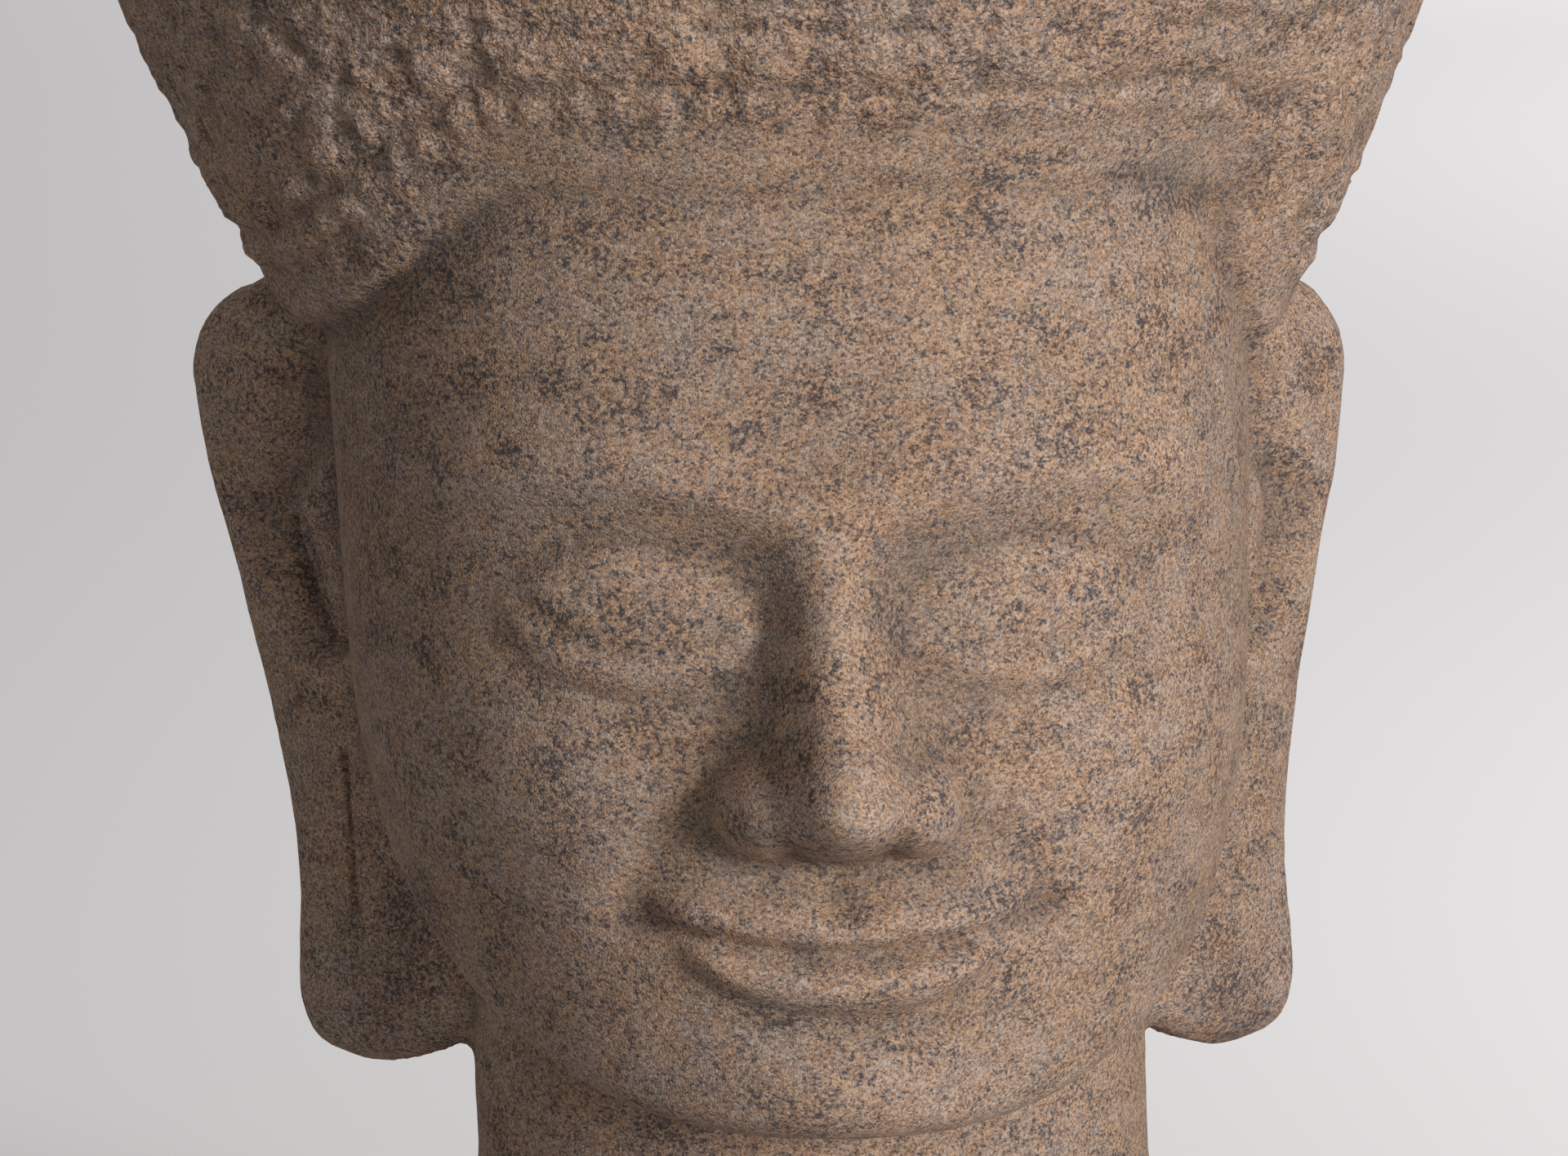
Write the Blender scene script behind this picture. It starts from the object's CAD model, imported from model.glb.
"""The looks of a carved sandstone head: the stone's wear, grain and patina, a pale studio floor and light.

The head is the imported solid's form carved again more finely, from the same sections and courses. Units are
metres, +Z is up and the face looks along -Y.
"""

import itertools
import math

import bmesh
import bpy
import numpy as np
from mathutils import Matrix, Vector


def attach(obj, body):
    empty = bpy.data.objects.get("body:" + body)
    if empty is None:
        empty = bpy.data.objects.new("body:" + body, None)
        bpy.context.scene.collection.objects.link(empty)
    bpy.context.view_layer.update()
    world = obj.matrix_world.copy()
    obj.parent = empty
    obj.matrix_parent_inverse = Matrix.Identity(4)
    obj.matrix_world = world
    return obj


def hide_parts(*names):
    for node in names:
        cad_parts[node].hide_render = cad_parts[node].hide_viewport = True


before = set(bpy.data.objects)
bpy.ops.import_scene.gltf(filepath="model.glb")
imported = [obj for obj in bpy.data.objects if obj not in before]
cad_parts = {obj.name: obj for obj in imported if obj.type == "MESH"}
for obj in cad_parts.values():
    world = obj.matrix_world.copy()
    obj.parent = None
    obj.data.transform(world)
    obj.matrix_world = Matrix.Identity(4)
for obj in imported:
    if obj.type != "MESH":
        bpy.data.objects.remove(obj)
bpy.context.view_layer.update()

# Driving heights
CHIN_Z = 0.0600
FACE_HEIGHT = 0.1515
RIM_Z = 0.2680
CROWN_HEIGHT = 0.1360

# How far the upright axis drifts towards -X for each metre of height
LEAN = 0.036

# The neck: half widths to the side, front and back, its narrowest height and the spread of its foot
NECK_SIDE = 0.0580
NECK_FRONT = 0.0535
NECK_BACK = 0.0600
NECK_WAIST_Z = 0.0380
FOOT_SPREAD = 0.0085
NECK_SQUARENESS = 2.1
THROAT_LIFT = 0.0101
THROAT_FROM_Z = 0.0180
THROAT_TO_Z = 0.0240

# The diadem: half widths of its rim, how it stands out of the skull at its lower edge, and its courses.
# The fillet, the lower beads and the foot of the net of lozenges are measured up from the lower edge, the
# rest down from the rim.
RIM_SIDE = 0.1165
RIM_FRONT = 0.1120
RIM_BACK = 0.1130
RIM_SQUARENESS = 2.15
RIM_THICKNESS = 0.0150
RIM_CROWNING = 0.0030
TROUGH_DEPTH = 0.0100
FLARE_CURVE = 1.35
FILLET_HEIGHT = 0.0080
FILLET_RELIEF = 0.0006
LOWER_BEAD_HEIGHT = 0.0115
LIP_DROP = 0.0065
LIP_RELIEF = 0.0018
UPPER_BEAD_DROP = 0.0100
LEAF_TOP_DROP = 0.0130
LEAF_FOOT_DROP = 0.0270
NET_TOP_DROP = 0.0285
NET_FOOT_HEIGHT = 0.0155
BEAD_RELIEF = 0.0014
BEAD_WIDTH = 0.0022
BEADS = 92
BEAD_LENGTH_SHARE = 0.80
RULE_HEIGHT = 0.0147
RULE_DEPTH = 0.0007
RULE_WIDTH = 0.0007
LEAVES = 24
LEAF_RELIEF = 0.0024
LEAF_HALF_WIDTH_SHARE = 0.47
LEAF_POINT_POWER = 2.2
LEAF_SIDE_POWER = 0.7
LEAF_EDGE = (-0.05, 0.10)
LEAF_FOOT = (-0.05, 0.05)
LEAF_TIP = (0.0, 0.10)
MIDRIB_SHARE = 0.35
MIDRIB_WIDTH_SHARE = 0.06
LOZENGES = 24
LOZENGE_HEIGHT = 0.0240
LOZENGE_RELIEF = 0.0006
ROSETTES = 48
ROSETTE_RELIEF = 0.0012
ROSETTE_HEIGHT = 0.0205
ROSETTE_HALF_HEIGHT = 0.0052
ROSETTE_HALF_TURN = 0.45
ROSETTE_PETALS = 5
ROSETTE_NOTCH = 0.18
ROSETTE_EDGE = 0.25
ROSETTE_HEART_SHARE = 0.6
ROSETTE_HEART = (0.20, 0.55)
BOSS_RADIUS = 0.24
BOSS_EDGE = 0.15
BOSS_SHARE = 0.45
FILLET_LINE_HEIGHT = 0.0056
FILLET_LINE_DEPTH = 0.0005
RIB_HEIGHT = 0.0268
RIB_RELIEF = 0.0011
RIB_WIDTH = 0.0013
LOZENGE_GROOVE_SHARES = (0.02, 0.24)

# The cone of the crown, its tiers of petals and the bud on its tip
CONE_FOOT_RADIUS = 0.0840
CONE_TIP_RADIUS = 0.0190
CONE_BELLY = 1.25
CONE_TIERS = 4
PETALS_IN_LOWEST_TIER = 14
PETALS_LOST_PER_TIER = 2
PETAL_RELIEF = 0.0058
PETAL_HALF_WIDTH_SHARE = 0.48
PETAL_POINT_POWER = 2.4
PETAL_SIDE_POWER = 0.7
PETAL_TIP_SHARE = 0.97
PETAL_FOOT_SHARE = 0.30
PETAL_EDGE = (-0.03, 0.09)
BACK_PETAL_SHARE = 0.55
BUD_HEIGHT = 0.0220
BUD_RADIUS = 0.0150

# The ears: heights of top and lobe, reach from the middle, where they leave the head, thickness, and how
# much higher the lobe ends beside the neck than at its outer edge
EAR_TOP_Z = 0.1872
EAR_LOBE_Z = 0.0480
EAR_REACH = 0.0987
EAR_ROOT_Y = -0.0060
EAR_THICKNESS = 0.0150
LOBE_LIFT = 0.0120
LOBE_LIFT_POWER = 6
EAR_CORNER_POWER = 0.75
EAR_END_POWER = 12
HELIX_RELIEF = 0.0012
HELIX_REACH = 0.90
HELIX_WIDTH = 0.10
CONCHA_DEPTH = 0.0055
CONCHA_WIDTH = 0.12
CONCHA_FOOT = (0.51, 0.57)
CONCHA_TOP = 0.97
CONCHA_FADE = 0.12
HELIX_FOOT = (0.45, 0.60)
EAR_TURN = (0.02, 0.98)
EAR_FRONT = (0.0, 0.6)

# How finely the stone is worked, how much closer its points stand across the face, and the angle either
# side over which the slope of the diadem's edge is taken
FACE_CROWDING = 0.30
SLOPE_REACH = 0.01
RIM_RINGS = 8
BUD_RINGS = 11
RING_STEP = 0.0010
RING_POINTS = 600
EAR_RING_POINTS = 110
EAR_RINGS = 180
CARVING_GRAIN = 0.0011
TRIANGLES = 188000
SAW_KERF = 0.0080

MODULE = FACE_HEIGHT / 30
HAIRLINE_Z = CHIN_Z + FACE_HEIGHT
TIP_Z = RIM_Z + CROWN_HEIGHT
CONE_TOP_Z = TIP_Z - BUD_HEIGHT

# Sections of the smooth head, in modules: height, half width, front depth, back depth, squareness
HEAD_SECTIONS = (
    (-2, 10.8, 16.4, 13.0, 2.0),
    (0, 11.6, 17.1, 13.4, 2.05),
    (3, 13.0, 17.4, 14.4, 2.15),
    (7, 14.1, 17.4, 15.4, 2.3),
    (11, 14.8, 17.4, 16.8, 2.4),
    (15, 15.0, 17.6, 18.2, 2.45),
    (20, 15.1, 18.1, 19.0, 2.45),
    (25, 15.2, 18.3, 19.0, 2.4),
    (30, 15.2, 18.1, 18.8, 2.35),
)

# Tables over the angle from the front, in degrees, and a value in modules unless it says metres
JAW_BORDER = ((0, -1.3), (22, -1.0), (42, 0.4), (60, 2.6), (80, 5.2), (100, 7.6), (130, 9.0), (180, 9.0))
JAW_ROUNDING = ((0, 2.6), (60, 2.8), (90, 4.0), (130, 9.0), (180, 12.0))
EDGE_STEP_METRES = (
    (-180, 0.0056),
    (-90, 0.0056),
    (-75, 0.0048),
    (-60, 0.0034),
    (-40, 0.0016),
    (-25, 0.0006),
    (0, 0.0002),
    (30, 0.0002),
    (48, 0.0006),
    (60, 0.0028),
    (75, 0.0048),
    (90, 0.0056),
    (180, 0.0056),
)

# Where the features fade out: cosine of the angle from the front, and share of the jaw's rounding
FACE_TURN = (0.30, 0.62)
FACE_JAW_SHARE = (0.6, 1.0)

# The diadem's lower edge: angle in degrees, negative to the viewer's left, and drop below the hairline
EDGE_DROP = (
    (-180, 5.6),
    (-100, 5.6),
    (-75, 5.6),
    (-62, 5.0),
    (-54, 4.3),
    (-47, 3.2),
    (-38, 1.5),
    (-30, 0.3),
    (-22, 0.0),
    (0, 0.0),
    (20, 0.1),
    (44, 0.6),
    (49, 1.6),
    (55, 4.3),
    (60, 5.7),
    (70, 5.9),
    (180, 5.6),
)

# Ear sections: share of the height, outer edge and root as shares of the reach, backward sweep in metres
EAR_SECTIONS = (
    (0.000, 0.790, 0.560, 0.026),
    (0.020, 0.842, 0.560, 0.028),
    (0.050, 0.866, 0.560, 0.028),
    (0.080, 0.875, 0.560, 0.028),
    (0.120, 0.875, 0.560, 0.028),
    (0.170, 0.869, 0.565, 0.028),
    (0.240, 0.863, 0.570, 0.029),
    (0.320, 0.868, 0.580, 0.030),
    (0.420, 0.887, 0.600, 0.032),
    (0.525, 0.912, 0.610, 0.034),
    (0.630, 0.938, 0.615, 0.036),
    (0.735, 0.976, 0.620, 0.038),
    (0.820, 0.994, 0.620, 0.039),
    (0.890, 0.998, 0.620, 0.039),
    (0.940, 0.968, 0.620, 0.037),
    (0.965, 0.935, 0.630, 0.036),
    (0.985, 0.885, 0.640, 0.034),
    (1.000, 0.825, 0.650, 0.031),
)

# The ear's hollow beside the cheek: share of the height, and where it lies as a share of the ear's width
CONCHA_PLACE = ((0.54, 0.55), (0.62, 0.62), (0.70, 0.65), (0.79, 0.48), (0.92, 0.40))

# Brow: height of its line at the nose, how much it arches, where the arch starts and ends, how softly it
# falls away upwards and downwards, and over what width it fades out
BROW_HEIGHT = 19.8
BROW_ARCH = 1.5
BROW_INNER = 0.6
BROW_SPAN = 13.0
BROW_RELIEF = 0.42
BROW_FALL_ABOVE = 1.7
BROW_FALL_BELOW = 0.75
BROW_FADE = 3.0

# Eyes, lowered in calm: centre, half width and half height of the ball, and the socket round it
EYE_OUT = 6.2
EYE_HEIGHT = 16.8
EYE_HALF_WIDTH = 3.9
EYE_HALF_HEIGHT = 2.3
EYE_RELIEF = 1.05
SOCKET_DEPTH = 0.95
SOCKET_RISE = 0.5
SOCKET_HALF_WIDTH = 4.6
SOCKET_HALF_HEIGHT = 2.2

# The line between the lids and the crease over the upper one: start and span, height over the eye's middle
# at the inner end, how far the middle of the line bends, how much higher it ends, depth and width
LID_INNER = 2.7
LID_SPAN = 7.2
LID_END_SHARE = 0.08
LID_RISE = 0.1
LID_BEND = -1.35
LID_END_LIFT = 0.5
LID_DEPTH = 0.30
LID_WIDTH = 0.30
CREASE_RISE = 0.4
CREASE_BEND = 1.75
CREASE_END_LIFT = 0.4
CREASE_DEPTH = 0.16
CREASE_WIDTH = 0.32

# Nose: projection of the bridge by height, its flanks, and its tip and wings as flattened domes
BRIDGE = (
    (9.2, 0.0),
    (10.2, 1.5),
    (11.4, 3.0),
    (12.6, 3.2),
    (14.5, 2.6),
    (16.6, 1.75),
    (18.8, 0.95),
    (21.2, 0.0),
)
BRIDGE_HALF_WIDTH = ((9.0, 2.3), (12.0, 2.2), (15.0, 1.75), (18.0, 1.5), (21.0, 1.7))
BRIDGE_SQUARENESS = 2.4
FLANK_SHARE = 0.30
FLANK_HALF_WIDTH = 3.2
FLANK_HEIGHTS = (9.6, 11.0)
TIP_HEIGHT = 11.7
TIP_HALF_WIDTH = 2.5
TIP_HALF_HEIGHT = 2.2
TIP_RELIEF = 3.9
WING_OUT = 2.35
WING_HEIGHT = 11.2
WING_HALF_WIDTH = 1.5
WING_HALF_HEIGHT = 1.7
WING_RELIEF = 2.5

# Mouth: the line between the lips, its half width, how far and how late its ends rise, and its groove
MOUTH_HEIGHT = 6.6
MOUTH_HALF_WIDTH = 6.0
MOUTH_LIFT = 0.9
MOUTH_LIFT_POWER = 2.2
PARTING_DEPTH = 0.34
PARTING_WIDTH = 0.30
PARTING_OVERRUN = 0.5
CORNER_DEPTH = 0.50
CORNER_OUT = 0.1
CORNER_WIDTH = 0.8

# Lips: height, taper towards the corners, fullness and the width over which each fades out
UPPER_LIP_HEIGHT = 1.75
UPPER_LIP_TAPER = 1.9
UPPER_LIP_RELIEF = 0.62
UPPER_LIP_FADE = 1.4
LOWER_LIP_HEIGHT = 2.05
LOWER_LIP_TAPER = 2.2
LOWER_LIP_HALF_WIDTH = 5.5
LOWER_LIP_RELIEF = 0.80
LOWER_LIP_FADE = 1.6
LIP_ROUNDNESS = 0.8
DOME_POWER = 0.6
THINNEST_LIP = 0.05
BOW_DIP = 0.2
BOW_WIDTH = 0.7

# Soft swellings and hollows of the lower face, each as place out, place up, half width, half height, relief
MUZZLE = (0.0, 7.0, 5.6, 3.4, 0.85)
PHILTRUM = (0.0, 9.1, 0.55, 0.9, -0.20)
CHEEK = (8.6, 11.6, 4.0, 3.8, 0.60)
CHIN = (0.0, 1.9, 3.6, 1.9, 0.85)
UNDER_LIP = (0.0, 4.0, 3.6, 0.9, -0.38)

# The fold from the nose past the mouth: where it is at the height of its top, and how far it slants out
FOLD_TOP = 11.0
FOLD_OUT = 4.6
FOLD_SLANT = 0.55
FOLD_HEIGHT = 9.0
FOLD_LENGTH = 1.8
FOLD_WIDTH = 0.9
FOLD_DEPTH = 0.28


def smoothstep(x, low, high):
    t = np.clip((x - low) / (high - low), 0.0, 1.0)
    return t * t * (3.0 - 2.0 * t)


def bump(x, centre, width):
    """A bell of height 1 at centre, down to about a third at a distance of width."""
    return np.exp(-(((x - centre) / width) ** 2))


def dome(x, y, centre, half):
    """A flattened dome of height 1 over an ellipse, 0 outside it."""
    inside = 1.0 - ((x - centre[0]) / half[0]) ** 2 - ((y - centre[1]) / half[1]) ** 2
    return np.clip(inside, 0.0, 1.0) ** DOME_POWER


def merge(*heights):
    """The tallest of several heights at each place, with the creases between them filled a little."""
    sharpness = 4.0
    return sum(np.maximum(h, 0.0) ** sharpness for h in heights) ** (1.0 / sharpness)


def follow(x, stations):
    """A smooth curve through (position, value) stations, with flat ends."""
    xs, ys = np.array(stations, float).T
    slopes = np.gradient(ys, xs)
    slopes[[0, -1]] = 0.0
    x = np.clip(x, xs[0], xs[-1])
    i = np.clip(np.searchsorted(xs, x, side="right") - 1, 0, len(xs) - 2)
    span = xs[i + 1] - xs[i]
    t = (x - xs[i]) / span
    start = (1 + 2 * t) * (1 - t) ** 2 * ys[i] + t * (1 - t) ** 2 * span * slopes[i]
    end = t * t * (3 - 2 * t) * ys[i + 1] + t * t * (t - 1) * span * slopes[i + 1]
    return start + end


def columns(x, table):
    """Each value column of a table of stations, followed at x."""
    rows = np.array(table, float)
    return [follow(x, rows[:, (0, i)]) for i in range(1, rows.shape[1])]


def oval(theta, side, front, back, squareness):
    """Distance from the axis to an oval section, at theta from the front, towards +X."""
    depth = np.where(np.cos(theta) > 0, front, back)
    across = np.abs(np.sin(theta) / side) ** squareness
    along = np.abs(np.cos(theta) / depth) ** squareness
    return (across + along) ** (-1.0 / squareness)


def neck_radius(theta, z):
    spread = FOOT_SPREAD * smoothstep(NECK_WAIST_Z - z, 0.0, NECK_WAIST_Z)
    return oval(theta, NECK_SIDE, NECK_FRONT, NECK_BACK, NECK_SQUARENESS) + spread


def skull_radius(theta, z):
    side, front, back, squareness = columns((z - CHIN_Z) / MODULE, HEAD_SECTIONS)
    return oval(theta, side * MODULE, front * MODULE, back * MODULE, squareness)


def jaw_share(theta, z):
    """0 on the neck and 1 on the head, with the jaw's lower border rounded between them."""
    angle = np.degrees(np.abs(theta))
    border = CHIN_Z + MODULE * follow(angle, JAW_BORDER)
    rounding = MODULE * follow(angle, JAW_ROUNDING)
    t = np.clip((z - border) / rounding, 0.0, 1.0)
    return np.sqrt(1.0 - (1.0 - t) ** 2), border


def diadem_edge(theta):
    return HAIRLINE_Z - MODULE * follow(np.degrees(theta), EDGE_DROP)


def diadem_radius(theta, z):
    """The flared band, from a low step out of the skull to its wide rim."""
    edge = diadem_edge(theta)
    share = np.clip((z - edge) / (RIM_Z - edge), 0.0, 1.0)
    flare = 1.0 - (1.0 - share) ** (1.0 + (FLARE_CURVE - 1.0) * np.sin(theta) ** 2)
    step = follow(np.degrees(theta), EDGE_STEP_METRES)
    lower = skull_radius(theta, edge) + step
    rim = oval(theta, RIM_SIDE, RIM_FRONT, RIM_BACK, RIM_SQUARENESS)
    return lower + (rim - lower) * flare


def diadem_relief(theta, z):
    """How far the courses of the diadem stand out: fillet, beads, net of lozenges, leaves, beads and lip."""
    edge = diadem_edge(theta)
    climb = diadem_edge(theta + SLOPE_REACH) - diadem_edge(theta - SLOPE_REACH)
    slope = climb / (2 * SLOPE_REACH * RIM_SIDE)
    above_edge = (z - edge) / np.sqrt(1.0 + slope**2)
    below_rim = RIM_Z - z
    fillet = FILLET_RELIEF * smoothstep(FILLET_HEIGHT - above_edge, 0.0, 0.5 * BEAD_WIDTH)
    beads = bead(theta, above_edge - LOWER_BEAD_HEIGHT) + bead(theta, below_rim - UPPER_BEAD_DROP)
    rule = -RULE_DEPTH * bump(above_edge, RULE_HEIGHT, RULE_WIDTH)
    rule = rule - FILLET_LINE_DEPTH * bump(above_edge, FILLET_LINE_HEIGHT, RULE_WIDTH)
    rule = rule + RIB_RELIEF * bump(above_edge, RIB_HEIGHT, RIB_WIDTH)
    rule = rule + ROSETTE_RELIEF * rosette(theta, (above_edge - ROSETTE_HEIGHT) / ROSETTE_HALF_HEIGHT)
    lip = LIP_RELIEF * smoothstep(LIP_DROP - below_rim, 0.0, BEAD_WIDTH)
    in_net = smoothstep(above_edge - NET_FOOT_HEIGHT, 0.0, BEAD_WIDTH)
    in_net = in_net * smoothstep(below_rim - NET_TOP_DROP, 0.0, BEAD_WIDTH)
    net = LOZENGE_RELIEF * in_net * lozenge(theta, (below_rim - NET_TOP_DROP) / LOZENGE_HEIGHT)
    leaf_rise = (LEAF_FOOT_DROP - below_rim) / (LEAF_FOOT_DROP - LEAF_TOP_DROP)
    return fillet + rule + BEAD_RELIEF * beads + lip + net + LEAF_RELIEF * leaf(theta, leaf_rise)


def bead(theta, offset):
    """A row of single oval beads round the band, by how far a place lies above the middle of the row."""
    along = ((theta * BEADS / (2 * np.pi)) % 1.0 - 0.5) / (0.5 * BEAD_LENGTH_SHARE)
    return np.sqrt(np.clip(1.0 - along**2 - (offset / BEAD_WIDTH) ** 2, 0.0, 1.0))


def rosette(theta, up):
    """A row of small flowers of five petals round a boss."""
    along = ((theta * ROSETTES / (2 * np.pi)) % 1.0 - 0.5) / ROSETTE_HALF_TURN
    distance = np.hypot(along, up)
    notches = np.cos(ROSETTE_PETALS * np.arctan2(along, up))
    petals = 1.0 - ROSETTE_NOTCH + ROSETTE_NOTCH * notches
    heart = ROSETTE_HEART_SHARE + (1.0 - ROSETTE_HEART_SHARE) * smoothstep(distance, *ROSETTE_HEART)
    flower = heart * smoothstep(petals - distance, 0.0, ROSETTE_EDGE)
    return flower + BOSS_SHARE * smoothstep(BOSS_RADIUS - distance, 0.0, BOSS_EDGE)


def lozenge(theta, rows):
    """A net of pillowed lozenges, 1 on each pillow and 0 in the grooves between them."""
    across = np.abs((theta * LOZENGES / (2 * np.pi)) % 1.0 - 0.5)
    along = np.abs(rows % 1.0 - 0.5)
    return smoothstep(np.abs(across + along - 0.5), *LOZENGE_GROOVE_SHARES)


def leaf(theta, rise):
    """An upright pointed leaf, 1 on its face and 0 in the ground between leaves, with a sunk midrib."""
    turn = np.abs((theta * LEAVES / (2 * np.pi)) % 1.0 - 0.5)
    half_width = (1.0 - np.clip(rise, 0.0, 1.0) ** LEAF_POINT_POWER) ** LEAF_SIDE_POWER
    half_width = LEAF_HALF_WIDTH_SHARE * half_width
    face = smoothstep(half_width - turn, *LEAF_EDGE)
    ends = smoothstep(rise, *LEAF_FOOT) * smoothstep(1.0 - rise, *LEAF_TIP)
    midrib = MIDRIB_SHARE * bump(turn, 0.0, MIDRIB_WIDTH_SHARE)
    return face * ends * (1.0 - midrib)


def face_relief(x, z):
    """How far the features stand out of the smooth front of the head, in metres, by place in front view."""
    h = np.abs(x) / MODULE
    v = (z - CHIN_Z) / MODULE
    return MODULE * (brow_and_eye(h, v) + nose(h, v) + mouth(h, v) + cheek_and_chin(h, v))


def swelling(h, v, form):
    """A soft swelling, or a hollow where its relief is negative."""
    out, up, half_width, half_height, relief = form
    return relief * bump(h, out, half_width) * bump(v, up, half_height)


def brow_and_eye(h, v):
    along_brow = np.clip((h - BROW_INNER) / BROW_SPAN, 0.0, 1.0)
    above = v - BROW_HEIGHT - BROW_ARCH * np.sin(np.pi * along_brow)
    ridge = bump(above, 0.0, np.where(above > 0, BROW_FALL_ABOVE, BROW_FALL_BELOW))
    ridge = BROW_RELIEF * ridge * smoothstep(BROW_INNER + BROW_SPAN - h, 0.0, BROW_FADE)
    socket = (EYE_OUT, EYE_HEIGHT + SOCKET_RISE, SOCKET_HALF_WIDTH, SOCKET_HALF_HEIGHT, -SOCKET_DEPTH)
    ball = EYE_RELIEF * dome(h, v, (EYE_OUT, EYE_HEIGHT), (EYE_HALF_WIDTH, EYE_HALF_HEIGHT))
    t = np.clip((h - LID_INNER) / LID_SPAN, 0.0, 1.0)
    lid_line = EYE_HEIGHT + LID_RISE + LID_BEND * np.sin(np.pi * t) + LID_END_LIFT * t
    crease = EYE_HEIGHT + CREASE_RISE + CREASE_BEND * np.sin(np.pi * t) + CREASE_END_LIFT * t
    on_eye = smoothstep(t, 0.0, LID_END_SHARE) * smoothstep(1.0 - t, 0.0, LID_END_SHARE)
    lids = LID_DEPTH * bump(v, lid_line, LID_WIDTH) + CREASE_DEPTH * bump(v, crease, CREASE_WIDTH)
    return ridge + swelling(h, v, socket) + ball - lids * on_eye


def nose(h, v):
    bridge = follow(v, BRIDGE)
    ridge = bridge * np.exp(-((h / follow(v, BRIDGE_HALF_WIDTH)) ** BRIDGE_SQUARENESS))
    flank = FLANK_SHARE * bridge * bump(h, 0.0, FLANK_HALF_WIDTH) * smoothstep(v, *FLANK_HEIGHTS)
    tip = TIP_RELIEF * dome(h, v, (0.0, TIP_HEIGHT), (TIP_HALF_WIDTH, TIP_HALF_HEIGHT))
    wing = WING_RELIEF * dome(h, v, (WING_OUT, WING_HEIGHT), (WING_HALF_WIDTH, WING_HALF_HEIGHT))
    return merge(ridge, tip, wing) + flank


def lip(relief, share, edge_distance, fade):
    """A rounded lip, by the share of its height and the distance from its outer end."""
    return relief * np.sin(np.pi * share) ** LIP_ROUNDNESS * smoothstep(edge_distance, 0.0, fade)


def mouth(h, v):
    t = np.clip(h / MOUTH_HALF_WIDTH, 0.0, 1.0)
    line = MOUTH_HEIGHT + MOUTH_LIFT * t**MOUTH_LIFT_POWER
    bow = 1.0 - BOW_DIP * bump(h, 0.0, BOW_WIDTH)
    upper = UPPER_LIP_HEIGHT * bow * np.sqrt(np.clip(1 - t**UPPER_LIP_TAPER, 0, 1))
    lower = np.clip(1 - (h / LOWER_LIP_HALF_WIDTH) ** LOWER_LIP_TAPER, 0, 1)
    lower = LOWER_LIP_HEIGHT * np.sqrt(lower)
    rise = np.clip((v - line) / np.maximum(upper, THINNEST_LIP), 0, 1)
    fall = np.clip((line - v) / np.maximum(lower, THINNEST_LIP), 0, 1)
    lips = lip(UPPER_LIP_RELIEF, rise, MOUTH_HALF_WIDTH - h, UPPER_LIP_FADE)
    lips = lips + lip(LOWER_LIP_RELIEF, fall, LOWER_LIP_HALF_WIDTH - h, LOWER_LIP_FADE)
    parting = PARTING_DEPTH * bump(v, line, PARTING_WIDTH)
    parting = parting * smoothstep(MOUTH_HALF_WIDTH + PARTING_OVERRUN - h, 0.0, 2 * PARTING_OVERRUN)
    corner_out = MOUTH_HALF_WIDTH + CORNER_OUT
    corner = (corner_out, MOUTH_HEIGHT + MOUTH_LIFT, CORNER_WIDTH, CORNER_WIDTH, -CORNER_DEPTH)
    return lips - parting + swelling(h, v, corner) + swelling(h, v, MUZZLE) + swelling(h, v, PHILTRUM)


def cheek_and_chin(h, v):
    fold_out = FOLD_OUT + FOLD_SLANT * (FOLD_TOP - v)
    fold = -FOLD_DEPTH * bump(h, fold_out, FOLD_WIDTH) * bump(v, FOLD_HEIGHT, FOLD_LENGTH)
    return fold + swelling(h, v, CHEEK) + swelling(h, v, CHIN) + swelling(h, v, UNDER_LIP)


def head_ring(theta, z):
    """Points round the block at one height, from the neck to the rim of the diadem."""
    share, border = jaw_share(theta, z)
    neck = neck_radius(theta, z)
    radius = neck + (skull_radius(theta, z) - neck) * share
    throat_lift = THROAT_LIFT * np.clip(np.cos(theta), 0.0, 1.0) * (1.0 - share)
    height = z + throat_lift * smoothstep(z, THROAT_FROM_Z, np.maximum(border, THROAT_TO_Z))
    x = radius * np.sin(theta)
    facing = smoothstep(np.cos(theta), *FACE_TURN) * smoothstep(share, *FACE_JAW_SHARE)
    y = -radius * np.cos(theta) - facing * face_relief(x, height)
    on_diadem = smoothstep(z - diadem_edge(theta), -0.5 * RING_STEP, 0.5 * RING_STEP)
    band = diadem_radius(theta, z) + diadem_relief(theta, z)
    x += on_diadem * (band * np.sin(theta) - x)
    y += on_diadem * (-band * np.cos(theta) - y)
    return np.column_stack((x, y, height))


def cone_radius(z):
    """The plain cone under its petals, a little convex."""
    share = np.clip((z - RIM_Z) / (CONE_TOP_Z - RIM_Z), 0.0, 1.0)
    return CONE_FOOT_RADIUS + (CONE_TIP_RADIUS - CONE_FOOT_RADIUS) * share**CONE_BELLY


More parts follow.
